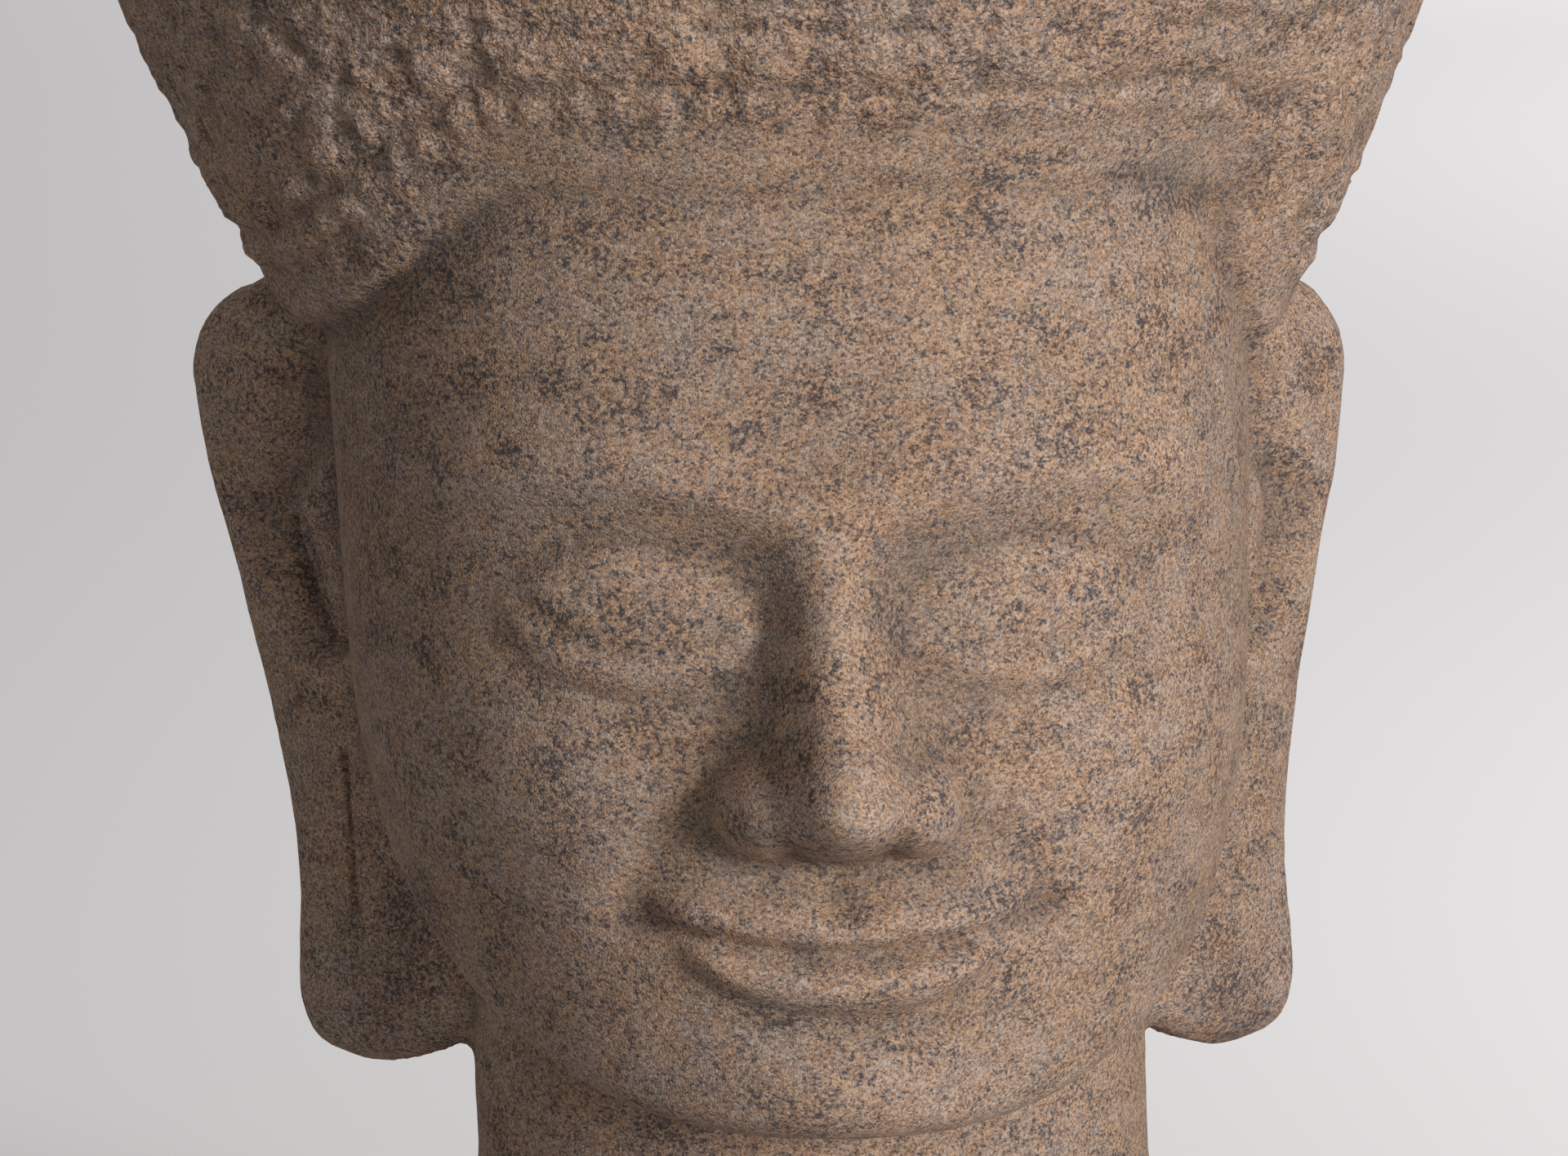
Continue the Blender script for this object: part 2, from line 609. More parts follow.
def petal_relief(theta, z):
    """Tiers of upright lotus petals leaning outwards, with the tips of a row behind between them."""
    level = np.clip((z - RIM_Z) / (CONE_TOP_Z - RIM_Z), 0.0, 1.0) * CONE_TIERS
    tier = np.clip(np.floor(level), 0, CONE_TIERS - 1)
    rise = np.clip(level - tier, 0.0, 1.0)
    petals = PETALS_IN_LOWEST_TIER - PETALS_LOST_PER_TIER * tier
    place = theta * petals / (2 * np.pi)
    turn = np.abs(place % 1.0 - 0.5)
    half_width = (1.0 - (PETAL_TIP_SHARE * rise) ** PETAL_POINT_POWER) ** PETAL_SIDE_POWER
    half_width = PETAL_HALF_WIDTH_SHARE * half_width
    thickness = PETAL_FOOT_SHARE + (1.0 - PETAL_FOOT_SHARE) * rise
    petal = smoothstep(half_width - turn, *PETAL_EDGE) * thickness
    behind = smoothstep(half_width - (0.5 - turn), *PETAL_EDGE) * BACK_PETAL_SHARE * rise
    return PETAL_RELIEF * np.maximum(petal, behind)


def crown_rings(theta):
    """Radius and height over the rim, down the trough behind it and up the cone to its bud."""
    rim = diadem_radius(theta, RIM_Z) + LIP_RELIEF
    trough_z = RIM_Z - TROUGH_DEPTH
    inward = np.linspace(0.0, 1.0, RIM_RINGS + 1)[1:]
    for t in inward:
        yield rim - RIM_THICKNESS * t, RIM_Z + RIM_CROWNING * math.sin(math.pi * t)
    inner = rim - RIM_THICKNESS
    for t in inward:
        drop = TROUGH_DEPTH * math.sin(0.5 * math.pi * t)
        yield inner + (CONE_FOOT_RADIUS - inner) * t, RIM_Z - drop
    for z in np.arange(trough_z + RING_STEP, CONE_TOP_Z, RING_STEP):
        starting = smoothstep(z, RIM_Z, RIM_Z + RING_STEP)
        yield cone_radius(z) + petal_relief(theta, z) * starting, z
    for t in np.linspace(0.0, 1.0, BUD_RINGS + 1)[:-1]:
        yield np.full_like(theta, BUD_RADIUS * math.sqrt(1.0 - t * t)), CONE_TOP_Z + BUD_HEIGHT * t


def block_rings():
    """Sections of the whole block from below its foot to the bud, closer together across the face."""
    turn = np.linspace(-np.pi, np.pi, RING_POINTS, endpoint=False)
    theta = turn - FACE_CROWDING * np.sin(turn)
    rings = [head_ring(theta, z) for z in np.arange(-SAW_KERF, RIM_Z, RING_STEP)]
    for radius, z in crown_rings(theta):
        x, y = radius * np.sin(theta), -radius * np.cos(theta)
        rings.append(np.column_stack((x, y, np.full_like(theta, z))))
    return rings


def ear_rings(side):
    """Sections of one ear from lobe to top, for side +1 or -1."""
    turn = np.linspace(0.0, 2 * np.pi, EAR_RING_POINTS, endpoint=False)
    across = np.sign(np.cos(turn)) * np.abs(np.cos(turn)) ** EAR_CORNER_POWER
    through = np.sign(np.sin(turn)) * np.abs(np.sin(turn)) ** EAR_CORNER_POWER
    rings = []
    for t in 0.5 - 0.5 * np.cos(np.pi * np.linspace(*EAR_TURN, EAR_RINGS)):
        edge, root, sweep = columns(t, EAR_SECTIONS)
        start = np.array((root * EAR_REACH, EAR_ROOT_Y))
        end = np.array((edge * EAR_REACH, EAR_ROOT_Y + sweep))
        along = (end - start) / np.linalg.norm(end - start)
        forward = np.array((along[1], -along[0]))
        reach = 0.5 + 0.5 * across
        thick = 0.5 * EAR_THICKNESS * through * math.sqrt(1.0 - (2.0 * t - 1.0) ** EAR_END_POWER)
        thick = thick + smoothstep(through, *EAR_FRONT) * ear_relief(reach, t)
        flat = start + np.outer(reach, end - start) + np.outer(thick, forward)
        lift = LOBE_LIFT * (1.0 - reach) ** 2 * (1.0 - t) ** LOBE_LIFT_POWER
        z = EAR_LOBE_Z + (EAR_TOP_Z - EAR_LOBE_Z) * t + lift
        rings.append(np.column_stack((side * flat[:, 0], flat[:, 1], z))[::side])
    return rings


def ear_relief(reach, t):
    """The hollow beside the cheek and the rim round the ear, on its front face."""
    hollow = bump(reach, follow(t, CONCHA_PLACE), CONCHA_WIDTH)
    hollow = hollow * smoothstep(t, *CONCHA_FOOT) * smoothstep(CONCHA_TOP - t, 0.0, CONCHA_FADE)
    rim = bump(reach, HELIX_REACH, HELIX_WIDTH) * smoothstep(t, *HELIX_FOOT)
    return HELIX_RELIEF * rim - CONCHA_DEPTH * hollow


def loft(name, rings):
    """A closed mesh through rings of as many points each, with its two ends filled."""
    mesh = bpy.data.meshes.new(name)
    shape = bmesh.new()
    loops = [[shape.verts.new(point) for point in ring] for ring in rings]
    for lower, upper in zip(loops, loops[1:]):
        for i in range(len(lower)):
            j = (i + 1) % len(lower)
            shape.faces.new((lower[i], lower[j], upper[j], upper[i]))
    shape.faces.new(loops[0][::-1])
    shape.faces.new(loops[-1])
    bmesh.ops.recalc_face_normals(shape, faces=shape.faces)
    shape.to_mesh(mesh)
    shape.free()
    return mesh


# Wear, as the size of its lumps and how far they stand in or out, on the crown
LUMP_SIZES = (0.0080, 0.0046, 0.0026)
LUMP_RELIEFS = (0.00020, 0.00030, 0.00046)
PIT_SIZE = 0.0042
PIT_DEPTH = 0.0010
PIT_SEED = 11
PIT_RANGE = (0.45, 0.85)
CARVED_FADE = 0.006
SMOOTH_STONE_ROUGHNESS = 0.20
ROUGH_FILLET_TURN = (0.45, 0.80)
# What mixes a cell of a grid into a fixed number
HASH_FACTORS = (374761393, 668265263, 2147483629)
HASH_MIX = 1274126177
HASH_MASK = 0xFFFFFFFF
HASH_SHIFTS = (13, 16)

# Cuts and ridges by their pixels in the photograph: points, half width and depth in metres, negative for a
# raised line. EAR_SLOT runs along the left ear beside the cheek and LOBE_SLIT down its long lobe; EAR_LINE
# stands in front of the right ear.
EAR_SLOT = ((363, 641), (377, 695), (391, 745), (418, 776), (414, 795))
LOBE_SLIT = ((420, 925), (424, 1000), (430, 1060), (435, 1115))
EAR_LINE = ((1490, 450), (1510, 560), (1533, 650), (1535, 760))
CUTS = (
    (EAR_SLOT, 0.0013, 0.0022),
    (LOBE_SLIT, 0.0006, 0.0014),
    (EAR_LINE, 0.0009, -0.0006),
)
# Dark patina by its pixels in the photograph: a line through it, half width in pixels and strength
PATINA_STREAKS = (
    (((500, 1110), (505, 1190), (480, 1230)), 36, 0.75),
    (((450, 470), (452, 620), (462, 780)), 55, 0.35),
    (((430, 1130), (440, 1190)), 22, 0.5),
    (((450, 420), (520, 350), (600, 280)), 40, 0.5),
    (((398, 470), (412, 560), (408, 640)), 17, 0.8),
    (((375, 650), (395, 740), (415, 790)), 12, 0.8),
    (((310, 370), (375, 400)), 15, 0.5),
    (((620, 545), (628, 565)), 16, 0.6),
    (((1010, 212), (1160, 222)), 12, 0.5),
    (((1370, 215), (1490, 240)), 12, 0.5),
    (((1130, 130), (1300, 142)), 9, 0.5),
    (((425, 930), (434, 1110)), 4, 0.9),
    (((1590, 400), (1600, 470)), 14, 0.4),
    (((1480, 1150), (1520, 1230)), 48, 0.65),
)
# How the cuts fade where the stone turns away, how far round them the mesh is refined and how often, and how
# the mesh is smoothed, read for hollows and sawn off
CUT_FACING = 0.25
CUT_MARGIN = 0.0020
CUT_ROUNDS = 2
HOLLOW_ROUNDS = 12
SOFTEN_SHARE = 0.5
SOFTEN_ROUNDS = 2
SAW_TOLERANCE = 1e-6

# The camera, set so that the photograph's 1920 by 1416 pixels are the whole view
IMAGE_SIZE = (1920, 1416)
TARGET = Vector((-0.0062, 0.0, 0.1360))
AZIMUTH = math.radians(-4.0)
ELEVATION = math.radians(10.0)
CAMERA_DISTANCE = 0.85
LENS_MM = 114.56
SENSOR_MM = 36.0
ROLL = math.radians(0.1)


def lattice(cell, seed):
    """A fixed number from -1 to 1 for each cell of a grid."""
    mixed = seed * HASH_MIX + sum(cell[:, i] * HASH_FACTORS[i] for i in range(3))
    mixed = mixed & HASH_MASK
    mixed = ((mixed ^ (mixed >> HASH_SHIFTS[0])) * HASH_MIX) & HASH_MASK
    mixed = mixed ^ (mixed >> HASH_SHIFTS[1])
    return mixed / HASH_MASK * 2.0 - 1.0


def lumps(points, size, seed):
    """Smooth noise from -1 to 1 with lumps of about a size."""
    place = points / size
    cell = np.floor(place).astype(np.int64)
    t = place - cell
    t = t * t * (3.0 - 2.0 * t)
    total = np.zeros(len(points))
    for corner in itertools.product((0, 1), repeat=3):
        weight = np.prod(np.where(corner, t, 1.0 - t), axis=1)
        total += weight * lattice(cell + np.array(corner), seed)
    return total


def get(data, name, width):
    values = np.empty(len(data) * width)
    data.foreach_get(name, values)
    return values.reshape(-1, width)


def upright(points):
    """Angle from the front and height of points, with the block's lean taken out."""
    x = points[:, 0] + LEAN * points[:, 2]
    return np.arctan2(x, -points[:, 1]), points[:, 2]


def carved_share(points):
    """1 on the rough carved crown, less on the smoother face, ears and neck; the left fillet is rough too."""
    theta, z = upright(points)
    rough_fillet = LOWER_BEAD_HEIGHT * smoothstep(-theta, *ROUGH_FILLET_TURN)
    above = z - diadem_edge(theta) - LOWER_BEAD_HEIGHT + rough_fillet
    return smoothstep(above, -CARVED_FADE, CARVED_FADE)


def weather(mesh):
    """Moves the surface in and out as worn sandstone does, most on the crown."""
    points = get(mesh.vertices, "co", 3)
    normals = get(mesh.vertices, "normal", 3)
    rough = SMOOTH_STONE_ROUGHNESS + (1.0 - SMOOTH_STONE_ROUGHNESS) * carved_share(points)
    shift = np.zeros(len(points))
    for i, (size, relief) in enumerate(zip(LUMP_SIZES, LUMP_RELIEFS)):
        shift += relief * lumps(points, size, i + 1)
    pits = smoothstep(lumps(points, PIT_SIZE, PIT_SEED), *PIT_RANGE)
    shift -= PIT_DEPTH * pits * carved_share(points)
    points += normals * (rough * shift)[:, None]
    mesh.vertices.foreach_set("co", points.ravel())
    mesh.update()


def pixels(points):
    """Where points fall in the photograph's pixels, and how many pixels a metre has there."""
    matrix = np.array(camera_matrix().inverted())
    seen = points @ matrix[:3, :3].T + matrix[:3, 3]
    scale = LENS_MM / SENSOR_MM * IMAGE_SIZE[0] / -seen[:, 2]
    x = IMAGE_SIZE[0] / 2 + seen[:, 0] * scale
    y = IMAGE_SIZE[1] / 2 - seen[:, 1] * scale
    return np.column_stack((x, y)), scale


def distance_to(line, places):
    """Distance of places from a line through points."""
    points = np.array(line, float)
    best = np.full(len(places), np.inf)
    for start, end in zip(points, points[1:]):
        t = np.clip((places - start) @ (end - start) / np.sum((end - start) ** 2), 0.0, 1.0)
        best = np.minimum(best, np.linalg.norm(places - start - t[:, None] * (end - start), axis=1))
    return best


def facing(points, normals):
    """How squarely each place faces the camera, 1 for straight on."""
    towards = np.array(camera_matrix().translation) - points
    towards /= np.linalg.norm(towards, axis=1)[:, None]
    return np.sum(towards * normals, axis=1)


def carve(mesh):
    """Cuts the thin lines of the ears into the side that faces the camera."""
    for _ in range(CUT_ROUNDS):
        refine(mesh)
    points = get(mesh.vertices, "co", 3)
    normals = get(mesh.vertices, "normal", 3)
    places, scale = pixels(points)
    seen = smoothstep(facing(points, normals), 0.0, CUT_FACING)
    for line, half_width, depth in CUTS:
        away = distance_to(line, places) / scale
        points -= normals * (depth * seen * bump(away, 0.0, half_width))[:, None]
    mesh.vertices.foreach_set("co", points.ravel())
    mesh.update()


def refine(mesh):
    """Halves the edges near the cuts, so that the mesh can carry them."""
    points = get(mesh.vertices, "co", 3)
    places, scale = pixels(points)
    near = np.zeros(len(points), bool)
    for line, half_width, _ in CUTS:
        near |= distance_to(line, places) / scale < half_width + CUT_MARGIN
    near &= facing(points, get(mesh.vertices, "normal", 3)) > 0.0
    ends = get(mesh.edges, "vertices", 2).astype(np.int64)
    chosen = np.flatnonzero(near[ends].all(axis=1))
    shape = bmesh.new()
    shape.from_mesh(mesh)
    shape.edges.ensure_lookup_table()
    edges = [shape.edges[i] for i in chosen]
    bmesh.ops.subdivide_edges(shape, edges=edges, cuts=1, use_grid_fill=True)
    bmesh.ops.triangulate(shape, faces=[f for f in shape.faces if len(f.verts) > 4])
    shape.to_mesh(mesh)
    shape.free()
    mesh.update()


def hollow_depth(mesh):
    """How far each vertex lies below its surroundings in metres, by a repeated average of its neighbours."""
    points = get(mesh.vertices, "co", 3)
    normals = get(mesh.vertices, "normal", 3)
    edges = get(mesh.edges, "vertices", 2).astype(np.int64)
    both = np.concatenate((edges, edges[:, ::-1]))
    count = np.bincount(both[:, 0], minlength=len(points))[:, None]
    smooth = points.copy()
    for _ in range(HOLLOW_ROUNDS):
        total = [np.bincount(both[:, 0], smooth[both[:, 1], i], len(points)) for i in range(3)]
        smooth = np.column_stack(total) / count
    return np.sum((smooth - points) * normals, axis=1)


def finished_mesh(obj):
    """The mesh that an object's modifiers give, in place of its own."""
    graph = bpy.context.evaluated_depsgraph_get()
    mesh = bpy.data.meshes.new_from_object(obj.evaluated_get(graph))
    obj.modifiers.clear()
    obj.data = mesh
    return mesh


def stone_head():
    joined = bmesh.new()
    for rings in (block_rings(), ear_rings(1), ear_rings(-1)):
        joined.from_mesh(loft("rings", rings))
    head = bpy.data.objects.new("stone_head", bpy.data.meshes.new("stone_head"))
    joined.to_mesh(head.data)
    joined.free()
    points = get(head.data.vertices, "co", 3)
    points[:, 0] -= LEAN * points[:, 2]
    head.data.vertices.foreach_set("co", points.ravel())
    bpy.context.scene.collection.objects.link(head)
    fuse = head.modifiers.new("fuse", "REMESH")
    fuse.mode = "VOXEL"
    fuse.voxel_size = CARVING_GRAIN
    soften = head.modifiers.new("soften", "SMOOTH")
    soften.factor = SOFTEN_SHARE
    soften.iterations = SOFTEN_ROUNDS
    weather(finished_mesh(head))
    carve(head.data)
    simplify = head.modifiers.new("simplify", "DECIMATE")
    simplify.ratio = TRIANGLES / (2 * len(head.data.polygons))
    finished_mesh(head)
    saw_flat(head.data)
    paint(head.data, "hollow", hollow_depth(head.data))
    paint(head.data, "carved", carved_share(get(head.data.vertices, "co", 3)))
    paint(head.data, "patina", patina_share(head.data))
    return head


def paint(mesh, name, values):
    """Keeps one number for each vertex, for the material to read."""
    mesh.attributes.new(name, "FLOAT", "POINT").data.foreach_set("value", values.astype(np.float32))


def patina_share(mesh):
    """Where dark patina lies on the side that faces the camera, 0 to 1."""
    points = get(mesh.vertices, "co", 3)
    places, _ = pixels(points)
    seen = smoothstep(facing(points, get(mesh.vertices, "normal", 3)), 0.0, CUT_FACING)
    share = np.zeros(len(points))
    for line, half_width, strength in PATINA_STREAKS:
        share = np.maximum(share, strength * bump(distance_to(line, places), 0.0, half_width))
    return share * seen


def saw_flat(mesh):
    """Cuts the neck off at height zero, with a sharp edge round a flat foot."""
    shape = bmesh.new()
    shape.from_mesh(mesh)
    everything = shape.verts[:] + shape.edges[:] + shape.faces[:]
    cut = bmesh.ops.bisect_plane(
        shape, geom=everything, dist=SAW_TOLERANCE, plane_co=(0, 0, 0), plane_no=(0, 0, -1), clear_outer=True
    )
    rim = [e for e in cut["geom_cut"] if isinstance(e, bmesh.types.BMEdge)]
    foot = bmesh.ops.triangle_fill(shape, use_beauty=True, edges=rim, normal=(0, 0, -1))
    for face in shape.faces:
        face.smooth = True
    for edge in rim:
        edge.smooth = False
    for item in foot["geom"]:
        if isinstance(item, bmesh.types.BMFace):
            item.smooth = False
    bmesh.ops.triangulate(shape, faces=shape.faces[:])
    shape.to_mesh(mesh)
    shape.free()


class Nodes:
    """Adds nodes to a material's tree and joins them."""

    def __init__(self, tree):
        self.tree = tree

    def add(self, kind, inputs=None, **settings):
        node = self.tree.nodes.new(kind)
        for name, value in settings.items():
            setattr(node, name, value)
        for name, value in (inputs or {}).items():
            if isinstance(value, bpy.types.NodeSocket):
                self.tree.links.new(value, node.inputs[name])
            else:
                node.inputs[name].default_value = value
        return node

    def math(self, operation, a, b=0.0, clamp=False):
        return self.add("ShaderNodeMath", {0: a, 1: b}, operation=operation, use_clamp=clamp).outputs[0]

    def noise(self, place, size, detail):
        inputs = {"Vector": place, "Scale": 1.0 / size, "Detail": detail, "Roughness": NOISE_ROUGHNESS}
        return self.add("ShaderNodeTexNoise", inputs).outputs["Fac"]

    def ramp(self, value, stops):
        node = self.add("ShaderNodeValToRGB", {"Fac": value})
        ramp = node.color_ramp
        while len(ramp.elements) < len(stops):
            ramp.elements.new(1.0)
        for element, (position, colour) in zip(ramp.elements, stops):
            element.position = position
            element.color = (*colour, 1.0)
        return node.outputs["Color"]

    def mix(self, factor, a, b, blend="MIX"):
        node = self.add("ShaderNodeMix", {"Factor": factor}, data_type="RGBA", blend_type=blend)
        for name, value in (("A", a), ("B", b)):
            socket = next(s for s in node.inputs if s.name == name and s.type == "RGBA")
            if isinstance(value, bpy.types.NodeSocket):
                self.tree.links.new(value, socket)
            else:
                socket.default_value = (*value, 1.0)
        return next(s for s in node.outputs if s.type == "RGBA")


# Colours of the sandstone's grains, and the sizes of grains, clusters and patches with their shares
DARK_GRAIN = (0.105, 0.080, 0.072)
GREY_GRAIN = (0.235, 0.172, 0.138)
TAN_GRAIN = (0.370, 0.256, 0.188)
ORANGE_GRAIN = (0.470, 0.318, 0.226)
PALE_GRAIN = (0.600, 0.465, 0.365)
PATINA = (0.105, 0.085, 0.075)
WARM_TINT = (1.08, 0.97, 0.86)
GREY_TINT = (0.93, 1.00, 1.09)
WORN_TINT = (1.16, 1.16, 1.18)
GRAIN_SIZE = 0.00040
FINE_GRAIN_SIZE = 0.00024
GRAIN_SHARES = ((GRAIN_SIZE, 0.62), (FINE_GRAIN_SIZE, 0.50))
CLUSTER_SHARES = ((0.0012, 0.50), (0.0075, 0.40))
CLUSTER_DETAIL = 3.0
MIDDLE_GRAIN = 0.58
NOISE_ROUGHNESS = 0.5
SPECK_SIZE = 0.0011
SPECK_DETAIL = 1.5
CROWD_SIZE = 0.013
CROWD_SHARE = 0.8
SPECK_THRESHOLD = 0.935
SPECK_SHARPNESS = 4.8
SPECK_STRENGTH = 0.40
BEDDING = (1.0, 1.0, 1.8)
GRAIN_COLOURS = (
    (0.08, DARK_GRAIN),
    (0.29, GREY_GRAIN),
    (0.49, TAN_GRAIN),
    (0.70, ORANGE_GRAIN),
    (0.93, PALE_GRAIN),
)
PATINA_DARKENING = 0.34
# Noises of the warm and grey tint by size, detail and share, and the values where it is wholly warm or grey
BLOTCH_TINT = (0.0045, 4.0, 0.28)
PATCH_TINT = (0.022, 3.0, 0.20)
SPOT_TINT = (0.0011, 2.0, 0.45)
TINT_RANGE = (0.40, 0.54)
# Wear and dirt for each metre that the surface stands out or lies in a hollow
WEAR_SLOPE = 900.0
CARVED_WEAR = 0.75
DIRT_SLOPE = 1100.0
DIRT_SPREAD = 0.2
DIRT_STRENGTH = 0.48
STONE_ROUGHNESS = 0.95
STONE_SPECULAR = 0.2
# Heights that only the light sees, in units of BUMP_DISTANCE metres
BUMP_DISTANCE = 0.00016
GRAIN_BUMP = -0.7
COARSE_BUMP_SIZE = 0.0020
COARSE_BUMP_DETAIL = 3.0
COARSE_BUMP = 1.2
CARVED_BUMP = 7.0


def grain_kind(nodes, place):
    """What grain lies where: dark near 0, tan in the middle, pale near 1, in clusters along the bedding."""
    bed = nodes.add("ShaderNodeVectorMath", {0: place, 1: BEDDING}, operation="MULTIPLY").outputs[0]
    kind = None
    for size, share in GRAIN_SHARES:
        cells = nodes.add("ShaderNodeTexVoronoi", {"Vector": place, "Scale": 1.0 / size})
        value = nodes.add("ShaderNodeSeparateColor", {"Color": cells.outputs["Color"]}).outputs["Red"]
        value = nodes.math("MULTIPLY", nodes.math("SUBTRACT", value, 0.5), share)
        kind = value if kind is None else nodes.math("ADD", kind, value)
    for size, share in CLUSTER_SHARES:
        value = nodes.math("SUBTRACT", nodes.noise(bed, size, CLUSTER_DETAIL), 0.5)
        kind = nodes.math("ADD", kind, nodes.math("MULTIPLY", value, share))
    crowd = nodes.math("MULTIPLY", nodes.noise(bed, CROWD_SIZE, CLUSTER_DETAIL), CROWD_SHARE)
    specks = nodes.math("ADD", nodes.noise(place, SPECK_SIZE, SPECK_DETAIL), crowd)
    specks = nodes.math("SUBTRACT", specks, SPECK_THRESHOLD)
    specks = nodes.math("MULTIPLY", specks, SPECK_SHARPNESS, clamp=True)
    specks = nodes.math("MULTIPLY", specks, SPECK_STRENGTH)
    return nodes.math("ADD", nodes.math("SUBTRACT", kind, specks), MIDDLE_GRAIN)


def sandstone():
    material = bpy.data.materials.new("sandstone")
    material.use_nodes = True
    nodes = Nodes(material.node_tree)
    shader = material.node_tree.nodes["Principled BSDF"]
    place = nodes.add("ShaderNodeTexCoord").outputs["Object"]
    hollow = nodes.add("ShaderNodeAttribute", attribute_name="hollow").outputs["Fac"]
    carved = nodes.add("ShaderNodeAttribute", attribute_name="carved").outputs["Fac"]
    patina = nodes.add("ShaderNodeAttribute", attribute_name="patina").outputs["Fac"]
    kind = nodes.math("SUBTRACT", grain_kind(nodes, place), nodes.math("MULTIPLY", patina, PATINA_DARKENING))
    colour = nodes.ramp(kind, GRAIN_COLOURS)
    noises = [nodes.noise(place, size, detail) for size, detail, _ in (BLOTCH_TINT, PATCH_TINT, SPOT_TINT)]
    shares = [share for _, _, share in (BLOTCH_TINT, PATCH_TINT, SPOT_TINT)]
    tint = nodes.math("ADD", *(nodes.math("MULTIPLY", n, share) for n, share in zip(noises[:2], shares)))
    tint = nodes.math("ADD", tint, nodes.math("MULTIPLY", noises[2], shares[2]))
    tint = nodes.ramp(tint, tuple(zip(TINT_RANGE, (WARM_TINT, GREY_TINT))))
    colour = nodes.mix(1.0, colour, tint, "MULTIPLY")
    worn = nodes.math("MULTIPLY", hollow, -WEAR_SLOPE)
    worn = nodes.math("ADD", worn, nodes.math("MULTIPLY", carved, CARVED_WEAR), clamp=True)
    colour = nodes.mix(worn, colour, nodes.mix(1.0, colour, WORN_TINT, "MULTIPLY"))
    dirt = nodes.math("MULTIPLY", hollow, DIRT_SLOPE, clamp=True)
    dirt = nodes.math("MULTIPLY", dirt, nodes.math("ADD", noises[0], DIRT_SPREAD), clamp=True)
    colour = nodes.mix(nodes.math("MULTIPLY", dirt, DIRT_STRENGTH), colour, PATINA)
    material.node_tree.links.new(colour, shader.inputs["Base Color"])
    shader.inputs["Roughness"].default_value = STONE_ROUGHNESS
    shader.inputs["Specular IOR Level"].default_value = STONE_SPECULAR
    fine = nodes.add("ShaderNodeTexVoronoi", {"Vector": place, "Scale": 1.0 / GRAIN_SIZE}).outputs["Distance"]
    fine = nodes.math("MULTIPLY", fine, GRAIN_BUMP)
    coarse = nodes.noise(place, COARSE_BUMP_SIZE, COARSE_BUMP_DETAIL)
    strength = nodes.math("ADD", nodes.math("MULTIPLY", carved, CARVED_BUMP), COARSE_BUMP)
    height = nodes.math("ADD", fine, nodes.math("MULTIPLY", coarse, strength))
    bumps = nodes.add("ShaderNodeBump", {"Height": height, "Strength": 1.0, "Distance": BUMP_DISTANCE})
    material.node_tree.links.new(bumps.outputs["Normal"], shader.inputs["Normal"])
    return material


# The studio: a floor, the lights that fall on the head, those that fall on the floor, and what fills the
# shade. A light has its azimuth and elevation in degrees, distance and size in metres, power in watts and
# the point that it looks at.
FLOOR_SIZE = 30.0
FLOOR_COLOUR = (0.80, 0.78, 0.785)
HEAD_MIDDLE = (0.0, 0.0, 0.2)
HEAD_LIGHTS = (
    ("key light", 37.0, 9.0, 2.2, 0.6, 34.0, HEAD_MIDDLE),
    ("front fill", -20.0, 5.0, 2.5, 1.5, 1.6, HEAD_MIDDLE),
    ("side fill", -80.0, 50.0, 2.5, 0.7, 1.4, HEAD_MIDDLE),
    ("back light", 180.0, 22.0, 2.5, 1.2, 11.0, HEAD_MIDDLE),
)
FLOOR_LIGHTS = (
    ("near wash", 75.0, 28.0, 1.2, 0.6, 10.4, (0.0, 0.2, 0.0)),
    ("middle wash", 110.0, 28.0, 3.0, 1.0, 50.5, (0.0, 0.9, 0.0)),
    ("far wash", 150.0, 35.0, 5.0, 2.0, 125.0, (0.2, 2.0, 0.0)),
)
SURROUNDINGS_COLOUR = (1.0, 0.985, 0.99, 1.0)
SURROUNDINGS_STRENGTH = 0.18


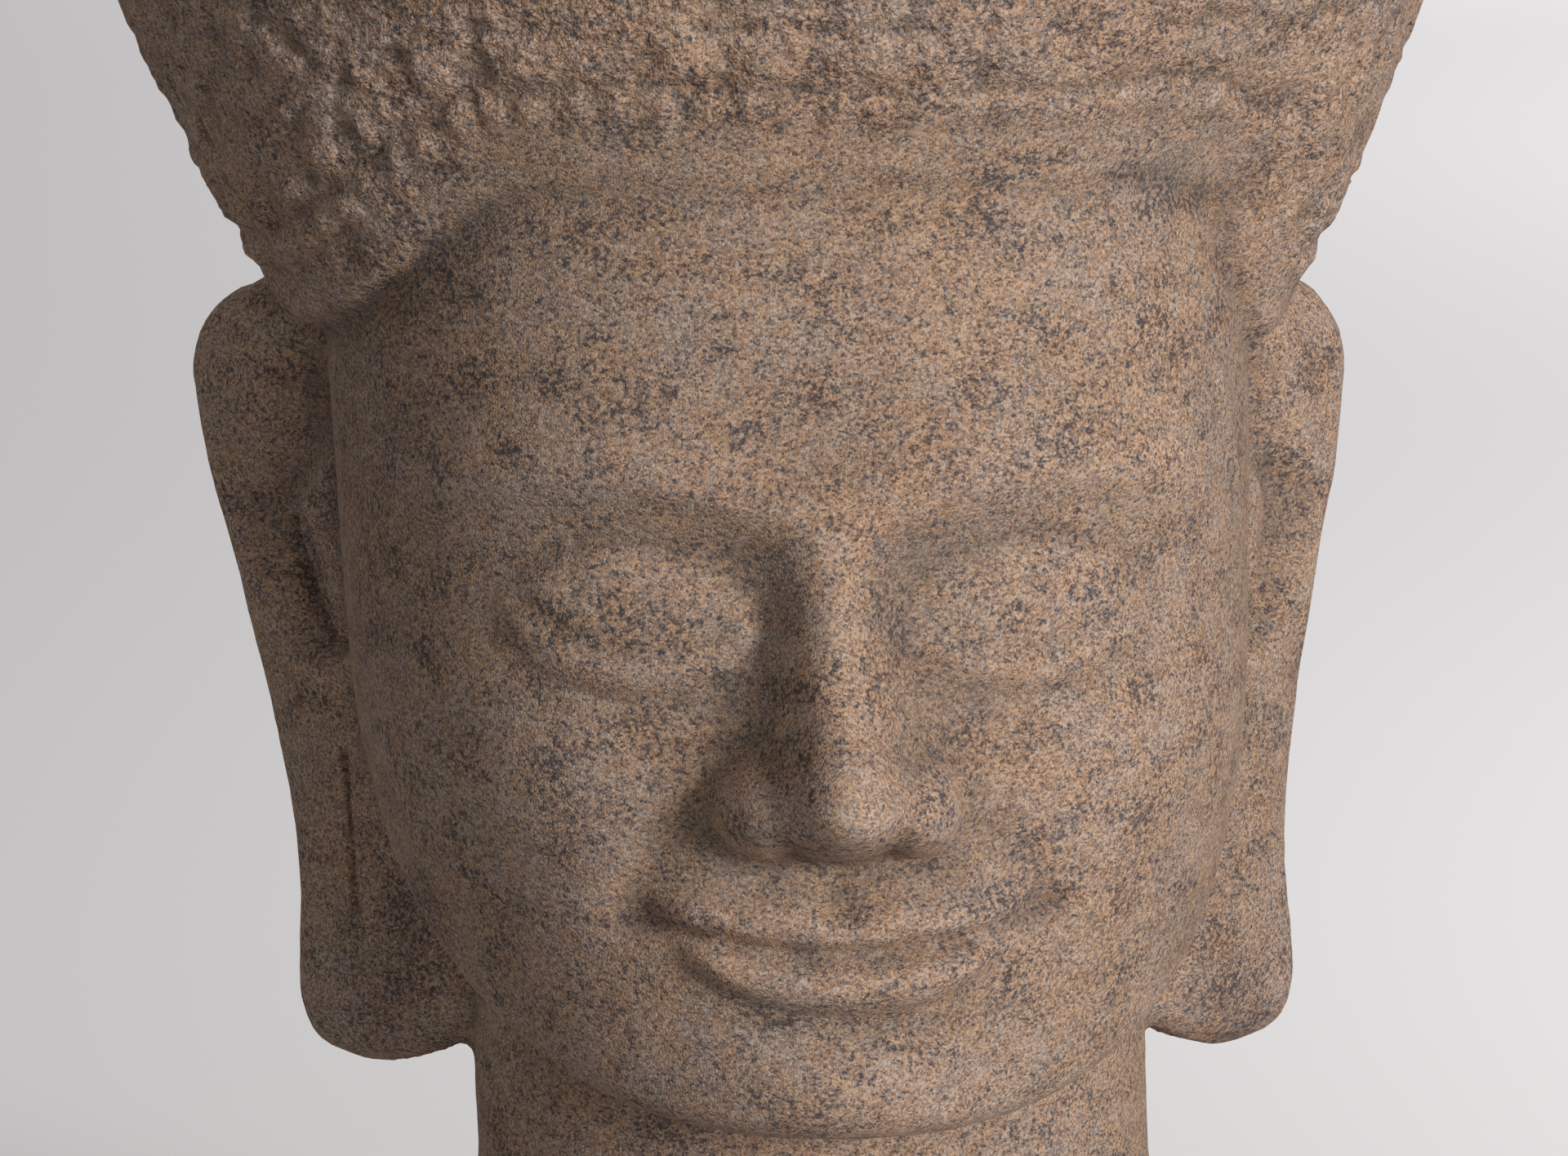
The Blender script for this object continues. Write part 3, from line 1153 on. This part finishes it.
def floor():
    bpy.ops.mesh.primitive_plane_add(size=FLOOR_SIZE)
    plane = bpy.context.active_object
    plane.name = "floor"
    material = bpy.data.materials.new("pale floor")
    material.use_nodes = True
    shader = material.node_tree.nodes["Principled BSDF"]
    shader.inputs["Base Color"].default_value = (*FLOOR_COLOUR, 1.0)
    shader.inputs["Roughness"].default_value = 1.0
    shader.inputs["Specular IOR Level"].default_value = 0.0
    plane.data.materials.append(material)
    plane.visible_diffuse = False
    return plane


def soft_light(name, azimuth, elevation, distance, size, power, aim):
    lamp = bpy.data.lights.new(name, "AREA")
    lamp.shape = "SQUARE"
    lamp.size = size
    lamp.energy = power
    obj = bpy.data.objects.new(name, lamp)
    a, e = math.radians(azimuth), math.radians(elevation)
    back = Vector((math.sin(a) * math.cos(e), -math.cos(a) * math.cos(e), math.sin(e)))
    obj.location = Vector(aim) + back * distance
    obj.rotation_euler = (-back).to_track_quat("-Z", "Y").to_euler()
    bpy.context.scene.collection.objects.link(obj)
    return obj


def only_on(light, *receivers):
    """Lets a light fall on these objects alone, as a flag beside the lamp would."""
    lit = bpy.data.collections.new("lit by " + light.name)
    for obj in receivers:
        lit.objects.link(obj)
    light.light_linking.receiver_collection = lit


def studio(head, ground):
    for light in HEAD_LIGHTS:
        only_on(soft_light(*light), head)
    for light in FLOOR_LIGHTS:
        only_on(soft_light(*light), ground)
    world = bpy.data.worlds.new("studio")
    bpy.context.scene.world = world
    world.use_nodes = True
    world.node_tree.nodes["Background"].inputs["Color"].default_value = SURROUNDINGS_COLOUR
    world.node_tree.nodes["Background"].inputs["Strength"].default_value = SURROUNDINGS_STRENGTH


def camera_matrix():
    across = math.cos(ELEVATION)
    back = Vector((math.sin(AZIMUTH) * across, -math.cos(AZIMUTH) * across, math.sin(ELEVATION)))
    turn = (-back).to_track_quat("-Z", "Y").to_matrix().to_4x4() @ Matrix.Rotation(-ROLL, 4, "Z")
    return Matrix.Translation(TARGET + back * CAMERA_DISTANCE) @ turn


def camera():
    lens = bpy.data.cameras.new("camera")
    lens.lens = LENS_MM
    lens.sensor_width = SENSOR_MM
    view = bpy.data.objects.new("camera", lens)
    view.matrix_world = camera_matrix()
    bpy.context.scene.collection.objects.link(view)
    bpy.context.scene.camera = view


def main():
    bpy.context.scene.view_settings.view_transform = "Standard"
    head = stone_head()
    head.data.materials.append(sandstone())
    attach(head, "root")
    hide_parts("crowned_head")
    studio(head, floor())
    camera()


main()
